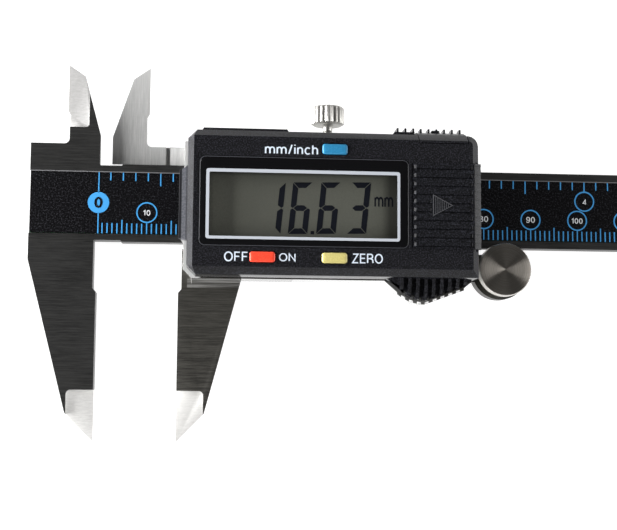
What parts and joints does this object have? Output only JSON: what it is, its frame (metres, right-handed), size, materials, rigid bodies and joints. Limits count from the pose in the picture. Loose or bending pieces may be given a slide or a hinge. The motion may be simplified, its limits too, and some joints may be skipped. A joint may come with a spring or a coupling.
{
  "type": "digital caliper",
  "caption": "Digital caliper with outside and inside jaws, a sliding display housing, a depth rod, a thumb wheel, a lock screw and a battery door.",
  "frame": {"origin": "bottom centre of the caliper's box as it lies on its back, at the opening it has in the picture", "axes": "+X along the beam towards the depth rod's tip, +Y towards the inside jaws, +Z out of the display"},
  "size_m": [0.2526, 0.0772, 0.0155],
  "materials": {
    "dark_steel": "fine brushed, dark",
    "bright_steel": "ground",
    "brass": "rolled",
    "case_plastic": "fine spark texture",
    "wiper_plastic": "satin",
    "contact_rubber": "matt",
    "lens": "polished",
    "lcd": "satin",
    "circuit_board": "solder mask",
    "scale_print": "printed film",
    "blue_button": "satin",
    "red_button": "satin",
    "yellow_button": "satin",
    "chip_resin": "cast resin"
  },
  "bodies": {
    "beam_body": {"beam": "dark_steel", "scale_board": "circuit_board", "scale_label": "scale_print", "end_stop": "bright_steel", "end_stop_screw_1": "bright_steel", "end_stop_screw_2": "bright_steel"},
    "slider": {"slider_frame": "dark_steel", "gib_strip": "brass", "gib_screw_left": "bright_steel", "gib_screw_right": "bright_steel", "depth_rod": "bright_steel", "rod_rivet": "bright_steel", "housing": "case_plastic", "case_screw_1": "bright_steel", "case_screw_2": "bright_steel", "case_screw_3": "bright_steel", "case_screw_4": "bright_steel", "beam_wiper": "wiper_plastic", "display_lens": "lens", "lcd_panel": "lcd", "lcd_strip_upper": "contact_rubber", "lcd_strip_lower": "contact_rubber", "main_board": "circuit_board", "driver_chip": "chip_resin", "unit_dome": "bright_steel", "power_dome": "bright_steel", "zero_dome": "bright_steel", "battery_cell": "bright_steel", "battery_contact_negative": "brass", "battery_contact_positive": "brass", "data_contacts": "brass"},
    "thumb_wheel": {"thumb_wheel": "dark_steel", "wheel_clip": "bright_steel"},
    "lock_screw": {"lock_screw": "bright_steel"},
    "unit_button": {"unit_button": "blue_button"},
    "power_button": {"power_button": "red_button"},
    "zero_button": {"zero_button": "yellow_button"},
    "battery_door": {"battery_door": "case_plastic"},
    "port_cover": {"port_cover": "case_plastic"}
  },
  "joints": [
    {"name": "slider_slide", "type": "slide", "parent": "beam_body", "child": "slider", "axis": [1, 0, 0], "range_m": [-0.0166, 0.13337]},
    {"name": "wheel_spin", "type": "hinge", "parent": "slider", "child": "thumb_wheel", "pos_m": [-0.02871, -0.00284, 0], "axis": [0, 0, 1], "range_deg": [-204, 1621]},
    {"name": "lock_turn", "type": "hinge", "parent": "slider", "child": "lock_screw", "pos_m": [-0.06535, 0.02687, 0.00335], "axis": [0, 1, 0], "range_deg": [-180, 360]},
    {"name": "unit_press", "type": "slide", "parent": "slider", "child": "unit_button", "axis": [0, 0, -1], "range_m": [0, 0.0005], "stiffness_N_per_m": 800, "springref_m": -0.0003},
    {"name": "power_press", "type": "slide", "parent": "slider", "child": "power_button", "axis": [0, 0, -1], "range_m": [0, 0.0005], "stiffness_N_per_m": 800, "springref_m": -0.0003},
    {"name": "zero_press", "type": "slide", "parent": "slider", "child": "zero_button", "axis": [0, 0, -1], "range_m": [0, 0.0005], "stiffness_N_per_m": 800, "springref_m": -0.0003},
    {"name": "door_slide", "type": "slide", "parent": "slider", "child": "battery_door", "axis": [1, 0, 0], "range_m": [0, 0.0145]},
    {"name": "cover_slide", "type": "slide", "parent": "slider", "child": "port_cover", "axis": [0, 1, 0], "range_m": [0, 0.004]}
  ],
  "couplings": [
    {"joint": "wheel_spin", "follows": "slider_slide", "rad_per_m": 211.86}
  ]
}
